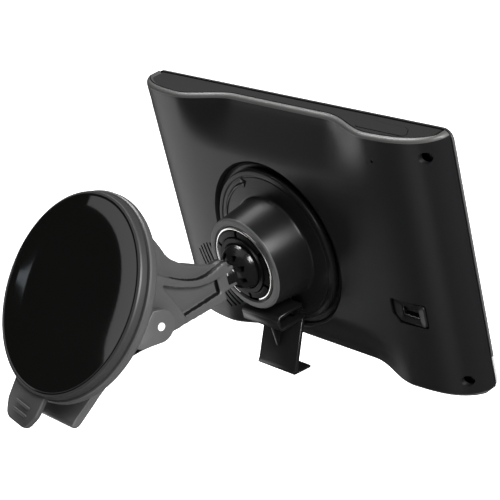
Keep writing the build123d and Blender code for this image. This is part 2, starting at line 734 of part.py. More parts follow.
with BuildPart() as loudspeaker:
    with BuildSketch(REAR.offset(7.6)):
        with Locations((speaker_u, speaker_v)):
            Circle(6.5)
    extrude(amount=1.2)
    with BuildSketch(REAR.offset(8.8)):
        with Locations((speaker_u, speaker_v)):
            Circle(8.8)
    extrude(amount=1.2)
    with BuildSketch(REAR.offset(9.5)):
        with Locations((speaker_u, speaker_v)):
            Circle(7.2)
    extrude(amount=1, taper=30, mode=Mode.SUBTRACT)
save(loudspeaker.part, "loudspeaker")

with BuildPart() as speaker_gasket:
    with BuildSketch(REAR.offset(10.0)):
        with Locations((speaker_u, speaker_v)):
            Circle(8.2)
            Circle(7.2, mode=Mode.SUBTRACT)
    extrude(amount=0.5)
save(speaker_gasket.part, "speaker_gasket")

with BuildPart() as usb_shell:
    with BuildSketch(REAR.offset(board_back)):
        with Locations((usb_u, usb_v)):
            RectangleRounded(7.7, 3.9, 0.6)
    extrude(amount=4.7)
    with BuildSketch(REAR.offset(board_back + 0.5)):
        with Locations((usb_u, usb_v)):
            RectangleRounded(7.0, 3.2, 0.3)
    extrude(amount=8, mode=Mode.SUBTRACT)
save(usb_shell.part, "usb_shell")

with BuildPart() as usb_tongue:
    with BuildSketch(REAR.offset(board_back + 0.5)):
        with Locations((usb_u, usb_v)):
            Rectangle(6.6, 2.8)
    extrude(amount=0.8)
    with BuildSketch(REAR.offset(board_back + 1.3)):
        with Locations((usb_u, usb_v + 0.2)):
            Rectangle(5.2, 0.9)
    extrude(amount=2.8)
save(usb_tongue.part, "usb_tongue")

switch_top = panel_top - panel_thick - 2.3
with BuildPart() as power_switch:
    with BuildSketch(TOP.offset(switch_top - 0.7)):
        with Locations((-button_u, 8.2)):
            Rectangle(6, 3.6)
    extrude(amount=-2.4)
    with BuildSketch(TOP.offset(switch_top)):
        with Locations((-button_u, 7.6)):
            Circle(1.1)
    extrude(amount=-0.7)
save(power_switch.part, "power_switch")

with BuildPart() as switch_board:
    with BuildSketch(TOP.offset(switch_top - 3.1)):
        with Locations((-button_u, 7.7)):
            Rectangle(14, 4.4)
    extrude(amount=-0.8)
    with BuildSketch(TOP.offset(switch_top - 3.9)):
        with Locations((-button_u, board_depth + 0.5)):
            Rectangle(3, 0.4)
    extrude(amount=-(switch_top - 3.9 - board_v - 0.1))
save(switch_board.part, "switch_board")

with BuildPart() as microphone:
    with BuildSketch(REAR.offset(10.1)):
        with Locations(mic):
            Circle(2.0)
            Circle(0.4, mode=Mode.SUBTRACT)
    extrude(amount=1.2)
save(microphone.part, "microphone")

leaf = 0.25                # bent leaf that holds the latch closed
with BuildPart() as latch_spring:
    with BuildSketch(DOCK_MID):
        Polygon((disc_back, -25.6), (disc_back, -19.0), (disc_back + leaf, -19.0), (disc_back + leaf, -25.0),
                (15.6, -23.9), (15.8, -24.0), (15.35, -25.3), (15.2, -25.6), align=None)
    extrude(amount=3.2, both=True)
save(latch_spring.part, "latch_spring")
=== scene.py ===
import json
from math import cos, pi, radians, sin, sqrt, tan

import bmesh
import bpy
from mathutils import Matrix, Vector


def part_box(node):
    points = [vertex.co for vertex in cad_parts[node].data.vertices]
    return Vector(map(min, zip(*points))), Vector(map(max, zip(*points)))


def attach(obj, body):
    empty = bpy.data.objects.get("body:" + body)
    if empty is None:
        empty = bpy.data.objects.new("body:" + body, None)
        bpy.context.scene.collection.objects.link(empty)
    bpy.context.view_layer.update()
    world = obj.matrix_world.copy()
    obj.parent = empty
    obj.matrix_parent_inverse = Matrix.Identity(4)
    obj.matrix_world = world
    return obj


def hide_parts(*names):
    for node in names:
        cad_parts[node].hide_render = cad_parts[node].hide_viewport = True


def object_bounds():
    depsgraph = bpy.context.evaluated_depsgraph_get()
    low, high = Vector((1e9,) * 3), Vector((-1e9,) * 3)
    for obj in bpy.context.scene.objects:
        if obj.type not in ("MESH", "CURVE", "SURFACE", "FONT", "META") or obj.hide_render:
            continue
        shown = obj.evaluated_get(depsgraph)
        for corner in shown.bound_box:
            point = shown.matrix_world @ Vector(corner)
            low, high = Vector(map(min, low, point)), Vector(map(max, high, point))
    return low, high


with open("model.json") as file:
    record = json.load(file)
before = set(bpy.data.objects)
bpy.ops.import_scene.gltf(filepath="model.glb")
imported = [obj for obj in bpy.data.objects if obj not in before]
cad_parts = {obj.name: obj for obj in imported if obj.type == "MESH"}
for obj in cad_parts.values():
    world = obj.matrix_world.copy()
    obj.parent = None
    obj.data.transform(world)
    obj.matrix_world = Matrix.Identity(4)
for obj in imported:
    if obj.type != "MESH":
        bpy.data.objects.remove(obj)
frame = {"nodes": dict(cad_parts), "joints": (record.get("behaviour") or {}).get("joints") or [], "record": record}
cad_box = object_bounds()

# Lengths below are in millimetres, in local frames that turn them into the model's metres.
MM = 0.001

# ------------------------------------------------------------ places, from the frame
joints = {joint["name"]: joint for joint in frame["joints"]}
ball = Vector(joints["ball_yaw"]["pos_m"])
cup_axis = Vector(joints["plunger_slide"]["axis"])
case_low, case_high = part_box("front_bezel")
case = (case_low + case_high) / 2
half_width = (case_high.x - case_low.x) / 2 / MM
half_height = (case_high.z - case_low.z) / 2 / MM


def local(origin, right, up, out):
    """Matrix from a local frame in millimetres to the model in metres."""
    turn = Matrix((right, up, out)).transposed().to_4x4()
    return Matrix.Translation(origin) @ turn @ Matrix.Scale(MM, 4)


X, Y, Z = Vector((1, 0, 0)), Vector((0, 1, 0)), Vector((0, 0, 1))
ORIGIN = Vector((0, 0, 0))
cup_up = Vector((0, -cup_axis.z, cup_axis.y))
dock_origin = Vector((0, case_low.y, ball.z))
rear_origin = Vector((case.x, case_low.y, case.z))
CUP = local(ORIGIN, -X, cup_up, cup_axis)             # x across, y up the suction face
CUP_SIDE = local(ORIGIN, cup_axis, cup_up, X)         # x along the cup's axis
ARM_SIDE = local(ball, Y, Z, X)
BALL = local(ball, -X, Z, Y)
DOCK = local(dock_origin, -X, Z, Y)                   # z is the depth behind the glass
DOCK_SIDE = local(dock_origin, Y, Z, X)
REAR = local(rear_origin, -X, Z, Y)                   # seen from behind: x right, y up
dock_u = rear_origin.x / MM
dock_v = (dock_origin.z - rear_origin.z) / MM


# ------------------------------------------------------------ materials
def plastic(name, colour, roughness, grain=0.3, bump=0.1, patch=18.0, vary=0.12, level=0.5, coat=0.0):
    """Moulded plastic, rubber or metal skin: fine grain in the surface, slow drifts in tone and gloss."""
    material = bpy.data.materials.new(name)
    material.use_nodes = True
    nodes, links = material.node_tree.nodes, material.node_tree.links
    shader = nodes["Principled BSDF"]
    shader.inputs["Specular IOR Level"].default_value = level
    shader.inputs["Coat Weight"].default_value = coat
    shader.inputs["Coat Roughness"].default_value = 0.08
    place = nodes.new("ShaderNodeTexCoord")
    slow = nodes.new("ShaderNodeTexNoise")
    slow.inputs["Scale"].default_value = 1000 / patch
    slow.inputs["Detail"].default_value = 3
    links.new(place.outputs["Object"], slow.inputs["Vector"])
    fine = nodes.new("ShaderNodeTexNoise")
    fine.inputs["Scale"].default_value = 1000 / grain
    fine.inputs["Detail"].default_value = 2
    links.new(place.outputs["Object"], fine.inputs["Vector"])
    tone = nodes.new("ShaderNodeMix")
    tone.data_type = "RGBA"
    tone.inputs["A"].default_value = (*[c * (1 - vary) for c in colour], 1)
    tone.inputs["B"].default_value = (*[min(1, c * (1 + vary)) for c in colour], 1)
    links.new(slow.outputs["Fac"], tone.inputs["Factor"])
    links.new(tone.outputs["Result"], shader.inputs["Base Color"])
    gloss = nodes.new("ShaderNodeMapRange")
    gloss.inputs["To Min"].default_value = roughness * 0.85
    gloss.inputs["To Max"].default_value = min(1, roughness * 1.15)
    links.new(fine.outputs["Fac"], gloss.inputs["Value"])
    links.new(gloss.outputs["Result"], shader.inputs["Roughness"])
    bumps = nodes.new("ShaderNodeBump")
    bumps.inputs["Strength"].default_value = bump
    bumps.inputs["Distance"].default_value = grain * MM * 0.3
    links.new(fine.outputs["Fac"], bumps.inputs["Height"])
    links.new(bumps.outputs["Normal"], shader.inputs["Normal"])
    return material


def metal(name, colour, roughness, grain=0.25, stretch=(1, 1, 8)):
    """Bare metal with fine drawn streaks."""
    material = plastic(name, colour, roughness, grain, 0.05, 12, 0.05)
    nodes, links = material.node_tree.nodes, material.node_tree.links
    nodes["Principled BSDF"].inputs["Metallic"].default_value = 1
    mapping = nodes.new("ShaderNodeMapping")
    mapping.inputs["Scale"].default_value = stretch
    links.new(nodes["Texture Coordinate"].outputs["Object"], mapping.inputs["Vector"])
    links.new(mapping.outputs["Vector"], nodes["Noise Texture.001"].inputs["Vector"])
    return material


def between(nodes, links, value, low, high):
    """1 where the value lies between low and high, else 0."""
    above = nodes.new("ShaderNodeMath")
    above.operation = "GREATER_THAN"
    above.inputs[1].default_value = low
    links.new(value, above.inputs[0])
    below = nodes.new("ShaderNodeMath")
    below.operation = "LESS_THAN"
    below.inputs[1].default_value = high
    links.new(value, below.inputs[0])
    both = nodes.new("ShaderNodeMath")
    both.operation = "MULTIPLY"
    links.new(above.outputs[0], both.inputs[0])
    links.new(below.outputs[0], both.inputs[1])
    return both.outputs[0]


def bezel_finish(name):
    """Black plastic with a greyer flank on the left, seen from the front, and a short silver trim low on it."""
    material = plastic(name, (0.012, 0.012, 0.013), 0.4, 0.3, 0.2)
    nodes, links = material.node_tree.nodes, material.node_tree.links
    split = nodes.new("ShaderNodeSeparateXYZ")
    links.new(nodes["Texture Coordinate"].outputs["Object"], split.inputs[0])
    flank = between(nodes, links, split.outputs["X"], case_low.x - MM, case_low.x + 0.45 * MM)
    strip = between(nodes, links, split.outputs["Z"], case.z - 43 * MM, case.z - 33 * MM)
    trim = nodes.new("ShaderNodeMath")
    trim.operation = "MULTIPLY"
    links.new(flank, trim.inputs[0])
    links.new(strip, trim.inputs[1])
    under = nodes["Mix"].outputs["Result"]
    for mask, grey in ((flank, 0.05), (trim.outputs[0], 0.3)):
        layer = nodes.new("ShaderNodeMix")
        layer.data_type = "RGBA"
        layer.inputs["B"].default_value = (grey, grey, grey, 1)
        links.new(mask, layer.inputs["Factor"])
        links.new(under, layer.inputs["A"])
        under = layer.outputs["Result"]
    links.new(under, nodes["Principled BSDF"].inputs["Base Color"])
    return material


def glass_front(name):
    """Dark display glass with a faint tint."""
    material = plastic(name, (0.012, 0.012, 0.015), 0.06, 0.8, 0.01, 40, 0.2)
    material.node_tree.nodes["Principled BSDF"].inputs["Coat Weight"].default_value = 0.6
    return material


finish = {
    "pad_rubber": plastic("pad rubber", (0.020, 0.020, 0.020), 0.5, 0.25, 0.15),
    "arm_plastic": plastic("arm plastic", (0.046, 0.046, 0.047), 0.42, 0.35, 0.45, 14, 0.15),
    "lever_plastic": plastic("lever plastic", (0.052, 0.052, 0.053), 0.45, 0.3, 0.5, 12, 0.15),
    "steel": metal("steel", (0.78, 0.78, 0.79), 0.25),
    "chrome_ring": metal("spring wire", (0.85, 0.84, 0.82), 0.18, 0.4, (1, 1, 1)),
    "socket_plastic": plastic("socket plastic", (0.002, 0.002, 0.002), 0.4, 0.5, 0.1, 18, 0.1, 0.12),
    "dock_plastic": plastic("dock plastic", (0.005, 0.005, 0.005), 0.3, 0.35, 0.22, 20, 0.2, 0.2),
    "latch_plastic": plastic("latch plastic", (0.005, 0.005, 0.005), 0.32, 0.35, 0.25, 18, 0.1, 0.35),
    "cover_plastic": plastic("cover plastic", (0.005, 0.005, 0.0055), 0.38, 0.28, 0.4, 30, 0.15, 0.27),
    "panel_plastic": plastic("panel plastic", (0.005, 0.0049, 0.0048), 0.6, 0.3, 0.3, 30, 0.1, 0.2),
    "bezel_plastic": bezel_finish("bezel plastic"),
    "touch_glass": glass_front("touch glass"),
    "display": plastic("display", (0.02, 0.02, 0.025), 0.3, 0.6, 0.05),
    "chassis_metal": metal("stamped chassis", (0.62, 0.63, 0.64), 0.4),
    "board": plastic("solder mask", (0.02, 0.11, 0.05), 0.35, 0.5, 0.2, 5, 0.3),
    "flex": plastic("amber film", (0.45, 0.22, 0.05), 0.35, 0.4, 0.1),
    "shield": metal("tinned steel", (0.66, 0.67, 0.68), 0.35),
    "ceramic": plastic("ceramic", (0.60, 0.55, 0.47), 0.6, 0.2, 0.4),
    "cell": plastic("foil pouch", (0.42, 0.43, 0.45), 0.35, 0.9, 0.4),
    "plug": plastic("natural nylon", (0.75, 0.72, 0.62), 0.5, 0.3, 0.1),
    "speaker": plastic("paper cone", (0.03, 0.03, 0.03), 0.8, 0.2, 0.5),
    "foam": plastic("foam", (0.02, 0.02, 0.02), 0.9, 0.4, 0.8),
    "pad_face": plastic("polished pad face", (0.0016, 0.0015, 0.0013), 0.03, 2.0, 0.001, 20, 0.2),
    "tab_rubber": plastic("tab rubber", (0.032, 0.032, 0.032), 0.5, 0.25, 0.3),
    "arm_web": plastic("shaded arm web", (0.003, 0.003, 0.003), 0.55, 0.35, 0.2, 20, 0.1, 0.2),
    "ball_plastic": plastic("ball plastic", (0.004, 0.004, 0.004), 0.2, 0.6, 0.15, 20, 0.2, 0.3),
    # painted shade: near black for the gaps beside the cover's panels and bezel
    "gap_shade": plastic("painted gap shade", (0.0008, 0.0008, 0.0008), 0.8, 0.4, 0.0, 20, 0.1, 0.1),
    # painted light: a lighter copy of the cover plastic for its rounded top and bottom edges
    "painted_edge_light": plastic("painted light on edge band", (0.045, 0.044, 0.043), 0.42, 0.28, 0.3, 30, 0.1),
    "dark_steel": metal("blackened steel", (0.03, 0.03, 0.03), 0.4),
    # the pin end's own steel grey, made matte and non-metal so it stays bright: partly its colour, partly a
    # painted highlight
    "pin_end_painted_highlight": plastic("pin end with painted highlight", (0.78, 0.78, 0.78), 0.35, 0.2, 0.1),
}
slot_of = {part["node"]: part["material_slot"] for part in frame["record"]["subparts"]}
own_look = {"latch_pin": "dark_steel", "latch_spring": "dark_steel", "lever_pin": "pin_end_painted_highlight"}
for node, shown in frame["nodes"].items():
    shown.data.materials.clear()
    shown.data.materials.append(finish[own_look.get(node, slot_of[node])])


# ------------------------------------------------------------ mesh helpers
def rounded(corners, radius, steps=5):
    """Closed outline with rounded corners; radius is one number, or one for each corner."""
    outline = []
    for i, corner in enumerate(corners):
        size = radius[i] if isinstance(radius, (list, tuple)) else radius
        here = Vector(corner)
        back = Vector(corners[i - 1]) - here
        ahead = Vector(corners[(i + 1) % len(corners)]) - here
        cut = min(size / max(tan(back.angle(ahead) / 2), 1e-4), 0.49 * back.length, 0.49 * ahead.length)
        if size == 0:
            outline.append(tuple(here))
            continue
        first = here + back.normalized() * cut
        last = here + ahead.normalized() * cut
        for k in range(steps + 1):
            t = k / steps
            outline.append(tuple((1 - t) ** 2 * first + 2 * t * (1 - t) * here + t * t * last))
    return outline


def flowing(points, steps=6):
    """Smooth line through the points."""
    ends = [Vector(points[0]) * 2 - Vector(points[1])] + [Vector(p) for p in points]
    ends.append(Vector(points[-1]) * 2 - Vector(points[-2]))
    line = []
    for i in range(1, len(ends) - 2):
        a, b, c, d = ends[i - 1:i + 3]
        for k in range(steps):
            t = k / steps
            line.append(tuple(0.5 * (2 * b + (c - a) * t + (2 * a - 5 * b + 4 * c - d) * t * t
                                     + (3 * b - a - 3 * c + d) * t ** 3)))
    line.append(tuple(ends[-2]))
    return line


def circle(radius, count=48, centre=(0, 0)):
    """Closed ring of points."""
    turns = [2 * pi * i / count for i in range(count)]
    return [(centre[0] + radius * cos(t), centre[1] + radius * sin(t)) for t in turns]


def block(wide, high, centre=(0, 0)):
    """Corners of a rectangle."""
    u, v = centre
    return [(u - wide / 2, v - high / 2), (u + wide / 2, v - high / 2),
            (u + wide / 2, v + high / 2), (u - wide / 2, v + high / 2)]


def lathe(profile, steps=144):
    """Closed profile of (height, radius) turned about the local z axis."""
    count = len(profile)
    verts = []
    faces = []
    for i in range(steps):
        turn = 2 * pi * i / steps
        verts += [(r * cos(turn), r * sin(turn), a) for a, r in profile]
        j = (i + 1) % steps
        for k in range(count):
            m = (k + 1) % count
            faces.append((i * count + k, j * count + k, j * count + m, i * count + m))
    return verts, faces


def loft(loops, closed_ends=True):
    """Skin over loops of points that all have the same count; each loop is (outline, height)."""
    count = len(loops[0][0])
    verts = [(x, y, z) for outline, z in loops for x, y in outline]
    faces = []
    for i in range(len(loops) - 1):
        for k in range(count):
            m = (k + 1) % count
            faces.append((i * count + k, i * count + m, (i + 1) * count + m, (i + 1) * count + k))
    if closed_ends:
        faces.append(tuple(reversed(range(count))))
        faces.append(tuple(range((len(loops) - 1) * count, len(loops) * count)))
    return verts, faces


def prism(outline, low, high, width=None):
    """Outline drawn out from low to high, or to both sides by width(x, y)."""
    count = len(outline)
    verts = []
    for side in (low, high):
        for x, y in outline:
            verts.append((x, y, width(x, y) * (1 if side > 0 else -1) if width else side))
    faces = [tuple(reversed(range(count))), tuple(range(count, 2 * count))]
    for k in range(count):
        m = (k + 1) % count
        faces.append((k, m, count + m, count + k))
    return verts, faces


def joined(*meshes):
    """Several meshes as one list of points and faces."""
    verts, faces = [], []
    for more, shapes in meshes:
        start = len(verts)
        verts += more
        faces += [tuple(start + k for k in face) for face in shapes]
    return verts, faces


def shape(name, mesh, place):
    """New object from points and faces in a local frame."""
    data = bpy.data.meshes.new(name)
    data.from_pydata([place @ Vector(v) for v in mesh[0]], [], mesh[1])
    edit = bmesh.new()
    edit.from_mesh(data)
    bmesh.ops.remove_doubles(edit, verts=edit.verts, dist=1e-7)
    bmesh.ops.dissolve_degenerate(edit, edges=edit.edges, dist=1e-7)
    bmesh.ops.recalc_face_normals(edit, faces=edit.faces)
    edit.to_mesh(data)
    edit.free()
    made = bpy.data.objects.new(name, data)
    bpy.context.scene.collection.objects.link(made)
    return made


def settle(piece, angle=32):
    """Applies the modifiers, then shades smooth with sharp edges past the angle."""
    bpy.context.view_layer.update()
    graph = bpy.context.evaluated_depsgraph_get()
    solid = bpy.data.meshes.new_from_object(piece.evaluated_get(graph))
    piece.modifiers.clear()
    piece.data = solid
    edit = bmesh.new()
    edit.from_mesh(solid)
    for face in edit.faces:
        face.smooth = True
    for edge in edit.edges:
        edge.smooth = len(edge.link_faces) == 2 and edge.calc_face_angle(0) < radians(angle)
    edit.to_mesh(solid)
    edit.free()


def soften(piece, radius, segments=3, angle=35):
    """Rounds the sharp edges."""
    bevel = piece.modifiers.new("soft edges", "BEVEL")
    bevel.width = radius * MM
    bevel.segments = segments
    bevel.limit_method = "ANGLE"
    bevel.angle_limit = radians(angle)
    bevel.harden_normals = True


def cut(piece, cutters, place):
    """Takes the cutters away from the piece."""
    tool = shape("cutter", joined(*cutters), place)
    carve = piece.modifiers.new("cut", "BOOLEAN")
    carve.operation = "DIFFERENCE"
    carve.solver = "EXACT"
    carve.object = tool
    settle(piece)
    bpy.data.objects.remove(tool)


def melt(piece, voxel, rounds):
    """Blends overlapping blocks into one moulded skin."""
    remesh = piece.modifiers.new("skin", "REMESH")
    remesh.mode = "VOXEL"
    remesh.voxel_size = voxel * MM
    even = piece.modifiers.new("even", "SMOOTH")
    even.factor = 0.5
    even.iterations = rounds
    settle(piece, 60)


def dress(piece, body, slot, look=None, nodes=()):
    """Gives a finished piece its body, finish and the CAD nodes it stands for."""
    piece.data.materials.clear()
    piece.data.materials.append(finish[look or slot])
    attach(piece, body)
    if nodes:
        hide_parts(*nodes)


# ------------------------------------------------------------ suction mount
def make_pad():
    """Rubber pad: a shallow dish that steepens to its lip, a rounded rim and a pull tab."""
    boss = 13.0
    lip = 31.2
    lip_slope = 0.12
    radii = [lip * i / 40 for i in range(41)]
    dish = [(-0.1 - lip_slope * lip / 3 * (1 - (r / lip) ** 3), r) for r in radii]
    rim = rounded([(-0.35, 31.9), (-0.9, 32.15), (-2.9, 32.4), (-3.0, 31.6), (-3.0, boss)],
                  [0.2, 0.3, 0.4, 0.2, 0])
    profile = dish + rim + [(-8.6, boss), (-8.6, 0)]
    pad = shape("pad", lathe(profile, 180), CUP)
    settle(pad, 50)
    dress(pad, "mount", "pad_rubber", None, ("suction_pad",))
    pad.data.materials.append(finish["pad_face"])
    for face in pad.data.polygons:
        point = CUP.inverted() @ face.center
        if face.normal.dot(cup_axis) > 0.5 and point.xy.length < lip + 0.1:      # the polished face
            face.material_index = 1
    turn = Matrix.Rotation(radians(-8), 4, "Z")
    tab_outline = rounded([(-9, -28), (9, -28), (8.2, -38), (5.6, -43), (-5.6, -43), (-8.2, -38)],
                          [0, 0, 4, 4, 4, 4], 6)
    tab = shape("pad_tab", loft([(tab_outline, -3.0), (tab_outline, -1.0)]), CUP @ turn)
    soften(tab, 0.6)
    settle(tab)
    dress(tab, "mount", "pad_rubber", "tab_rubber")
    bars = [prism(rounded(block(7.6, 0.9, (0.4, -v)), 0.44), -1.2, -0.5) for v in (36.8, 39.4)]
    ribs = shape("tab_ribs", joined(*bars), CUP @ turn)
    soften(ribs, 0.25)
    settle(ribs)
    dress(ribs, "mount", "pad_rubber", "tab_rubber")


def make_base():
    """Round back of the suction mount with its thin rim."""
    flank = flowing([(-6.4, 32.6), (-7.6, 29.5), (-9.6, 24.5), (-11.6, 20), (-13.2, 15.6)])
    corners = [(-9, 14), (-3.4, 14), (-3.4, 32.8), (-3.8, 33.2), (-5.4, 33.2), (-6.0, 32.9)]
    corners += flank + [(-14.5, 14), (-14.5, 0), (-9, 0)]
    base = shape("base_shell", lathe(corners, 180), CUP)
    settle(base, 40)
    dress(base, "mount", "arm_plastic", None, ("mount_base",))


def arm_half(y, z):
    """Half width of the arm at a point of its side view: narrow at the ball, the same at any height."""
    return 2.8 + 4.0 * min(1, max(0, (y - 10) / 24))


def make_arm():
    """Arm with a rail, a crest, a recessed web, a lower channel and the ball's neck."""
    rail_top = flowing([(8.6, 5.6), (10.4, 6.0), (15.4, 5.5), (20.1, 5.8), (24.5, 7.3),
                        (28.6, 9.6), (32.4, 12.3), (36.2, 15.3), (41, 20)])
    rail_low = flowing([(42.5, 16.9), (38.4, 13.4), (34.0, 10.4), (28.9, 7.3),
                        (23.1, 4.4), (16.3, 2.6), (9.6, 2.2)])
    crest = flowing([(10, 4.6), (16.2, 7.6), (21, 10.4), (24.6, 12.5),
                     (27.8, 15.5), (31, 19), (33.6, 25), (37, 33)])
    web = crest + [(52, 33), (56, 10), (36, -3), (14, -5), (10, -3)]
    lower = [(12.8, -3.0), (12.8, -6.4), (41, -3.6), (41, -0.9)]
    rib = [(12.8, 4.4), (12.8, -6.4), (14.6, -6.2), (14.6, 4.4)]
    hub = [(31.5, -3.6), (43, -3.6), (52, 4), (46, 26), (41, 20), (37, 11), (33, 2)]
    solids = [
        prism(rail_top + rail_low, -1, 1, arm_half),
        prism(web, -1, 1, lambda y, z: arm_half(y, z) - 2.2),
        prism(rounded(lower, 0.4), -1, 1, arm_half),
        prism(rib, -1, 1, lambda y, z: arm_half(y, z) - 0.5),
        prism(rounded(hub, 1.5), -1, 1, lambda y, z: 6.6),
        prism([(7, 3.6), (7, -3.6), (14, -3.6), (14, 4.0)], -1, 1, lambda y, z: 2.9),
    ]
    arm = shape("arm", joined(*solids), ARM_SIDE)
    melt(arm, 0.36, 5)
    dress(arm, "mount", "arm_plastic", None, ("mount_base",))
    # the steep walls between the rails and the web are in shade, up to the hub
    arm.data.materials.append(finish["arm_web"])
    hub_start = 33
    for face in arm.data.polygons:
        point = ARM_SIDE.inverted() @ face.center
        inset = arm_half(point.x, point.y) - abs(point.z)
        if 0.5 < inset < 2.1 and abs(face.normal.x) < 0.8 and point.x < hub_start:
            face.material_index = 1


def make_ball():
    """Ball with moulding pockets round its neck."""
    radius = 8.25
    profile = [(radius * sin(pi * t / 24), radius * cos(pi * t / 24)) for t in range(-12, 13)]
    neck = lathe([(4, 0), (4, 4.0), (10.5, 3.6), (10.5, 0)], 48)
    knob = shape("ball", joined(lathe(profile, 64), neck), BALL)
    melt(knob, 0.3, 2)
    pockets = []
    for i in range(8):
        turn = 2 * pi * (i + 0.5) / 8
        centre = (5.4 * cos(turn), 5.4 * sin(turn))
        pockets.append(prism(rounded(block(1.9, 1.9, centre), 0.3), 2.6, 14))
    cut(knob, pockets, BALL)
    dress(knob, "mount", "arm_plastic", "ball_plastic", ("mount_base",))


def make_lever():
    """Cam lever: two flat side plates joined by the thumb plate."""
    pin = Vector(joints["lever_hinge"]["pos_m"])
    a = (pin.dot(cup_axis)) / MM
    v = (pin.dot(cup_up)) / MM
    half = (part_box("cam_lever")[1].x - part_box("cam_lever")[0].x) / 2 / MM
    cheek = [(a + 4.9, v + 3.8), (a + 1.0, v + 5.4)]
    cheek += [(a + 5.5 * cos(radians(t)), v + 5.5 * sin(radians(t))) for t in range(95, 246, 10)]
    cheek += [(-29.8, -8.2), (-26.4, -10.4), (-23.4, -12.9), (-21.1, -16.9),
              (-18.4, -17.0), (-19.3, -13.8), (-20.8, -10.0), (-24.2, -7.4)]
    outer = flowing([(-27.4, -9.6), (-23.6, -12.7), (-21.1, -16.9), (-18.8, -21.4),
                     (-16.7, -26.0), (-14.8, -31.1), (-12.9, -36.1)])
    inner = flowing([(-9.9, -36.0), (-11.8, -31.2), (-13.9, -26.2), (-16.0, -21.4),
                     (-18.1, -17.2), (-19.5, -13.6), (-21.4, -10.2)])
    plate = outer + [(-12.4, -37.2), (-11.4, -38.1), (-10.2, -38.2), (-9.4, -37.4)] + inner
    sides = [prism(cheek, s * half, s * (half - 3.0)) for s in (1, -1)]
    lever = shape("lever", joined(*sides, prism(plate, -half, half)), CUP_SIDE)
    soften(lever, 0.45, 3)
    settle(lever)
    dress(lever, "lever", "lever_plastic", None, ("cam_lever",))


# ------------------------------------------------------------ dock
def make_dock():
    """Round dock plate with the tapered collar that holds the ball."""
    face_start = 27.0
    corners = [(12.5, 0), (12.5, face_start), (12.9, 27.4), (14.5, 27.4), (14.9, face_start),
               (14.9, 25.7), (14.7, 25.5), (14.7, 25.0), (14.9, 24.8), (14.9, 17.9),
               (28.5, 16.4), (29.0, 15.9), (29.0, 14.1), (28.4, 13.55), (18.0, 13.55), (18.0, 0)]
    radii = [0, 0.2, 0.2, 0.3, 0.3, 0.1, 0.1, 0.1, 0.1, 1.0, 0.3, 0.3, 0.2, 0.3, 0, 0]
    dock = shape("dock", lathe(rounded(corners, radii), 180), DOCK)
    slot = [(14.85, -26.9), (30, -26.9), (30, -17.0), (20, -17.7), (14.85, -18.4)]
    cut(dock, [prism(slot, -9.8, 9.8)], DOCK_SIDE)
    dress(dock, "dock", "dock_plastic", None, ("dock_plate",))
    # painted light: the collar's flat front rim takes the lighter arm plastic, standing for the light on it
    dock.data.materials.append(finish["arm_plastic"])
    for face in dock.data.polygons:
        point = DOCK.inverted() @ face.center
        if point.z > face_start:
            face.material_index = 1
    lug = rounded([(14.6, -22.7), (18.6, -23.05), (20.05, -21.6), (18.6, -20.15), (14.6, -20.15)],
                  [0, 1, 1.2, 1, 0])
    lugs = shape("latch_lugs", joined(*[prism(lug, s * 4.4, s * 7.2) for s in (1, -1)]), DOCK_SIDE)
    soften(lugs, 0.3)
    settle(lugs)
    dress(lugs, "dock", "dock_plastic")
    # curved arrow that shows which way the dock turns
    arc = [radians(166 - 52 * i / 24) for i in range(25)]
    head = arc[-1]
    polar = [(23.1, s) for s in arc]
    polar += [(21.9, head), (23.7, head - 0.11), (25.5, head)]
    polar += [(24.0, s) for s in reversed(arc)]
    pointer = [(r * cos(s), r * sin(s)) for r, s in polar]
    mark = shape("turn_mark", prism(pointer, 14.85, 15.15), DOCK)
    soften(mark, 0.08, 2)
    settle(mark)
    dress(mark, "dock", "dock_plastic")


def make_latch():
    """Release latch: a channel hooked under the collar, a leaning plate with a foot, and a gusset."""
    front, back, top, low, thick = 16.3, 27.8, -18.9, -24.6, 1.2
    channel = [(front, top - thick), (front, top), (back - 1.2, top), (back, top - 1.2), (back, low + 1.2),
               (back - 1.2, low), (front, low), (front, low + thick), (back - 1.6, low + thick),
               (back - 1.2, low + 1.8), (back - 1.2, top - 1.8), (back - 1.6, top - thick)]
    plate = [(17.6, low + 0.5), (25.6, -40.1), (26.6, -41.2), (26.0, -42.0), (18.6, -42.9), (18.4, -41.9),
             (24.2, -41.2), (16.3, low + 0.1)]
    knuckle = circle(1.8, 24, (18.6, -21.6))
    tie = [(18.6, -22.7), (27.0, -22.7), (27.0, -20.5), (18.6, -20.5)]
    gusset = [(18.4, low + 0.2), (24.2, low + 0.2), (23.4, -34.5)]
    parts = [prism(channel, -9.2, 9.2), prism(plate, -9.2, 9.2), prism(knuckle, -4.1, 4.1),
             prism(tie, -4.1, 4.1), prism(gusset, -0.7, 0.7)]
    latch = shape("latch", joined(*parts), DOCK_SIDE)
    soften(latch, 0.35, 3)
    settle(latch)
    dress(latch, "latch", "latch_plastic", None, ("release_latch",))


# ------------------------------------------------------------ navigator
seam = 1.2
cover_foot = seam + 0.3    # depth at which the cover starts, just off the front bezel
skin_half = 70.3
full_depth = 14.1
waist_depth = 6.4
waist_flat = 22.0
waist_end = 46.0
waist_start = 26.0
corner = 2.2
gap_shade_width = 0.4              # width of the near-black lines of painted shade in the gaps
edge_drop = 1.3            # how far the rounded edge comes down the rear
edge_reach = 2.2           # and how far it comes forward on the top
screw_u = 65.9
screw_v = 38.5
usb = (50.0, -16.2)
mic = (47.3, 36.0)
speaker_angle = 209.3
speaker_reach = 43.3
grille_radius = 12.7
grille_pitch = 2.2
grille_slot = 0.9


def ease(t):
    """Smooth step from 0 to 1."""
    t = max(0.0, min(1.0, t))
    return t * t * (3 - 2 * t)


def rear_depth(x, z):
    """Depth of the rear skin, with its scooped top and bottom edges."""
    side = max(0.0, 1 - (abs(x) / skin_half) ** 8)
    full = seam + (full_depth - seam) * sqrt(side)
    across = ease((waist_end - abs(x)) / (waist_end - waist_flat))
    along = ease((abs(z) - waist_start) / (half_height - waist_start))
    return full - waist_depth * across * along


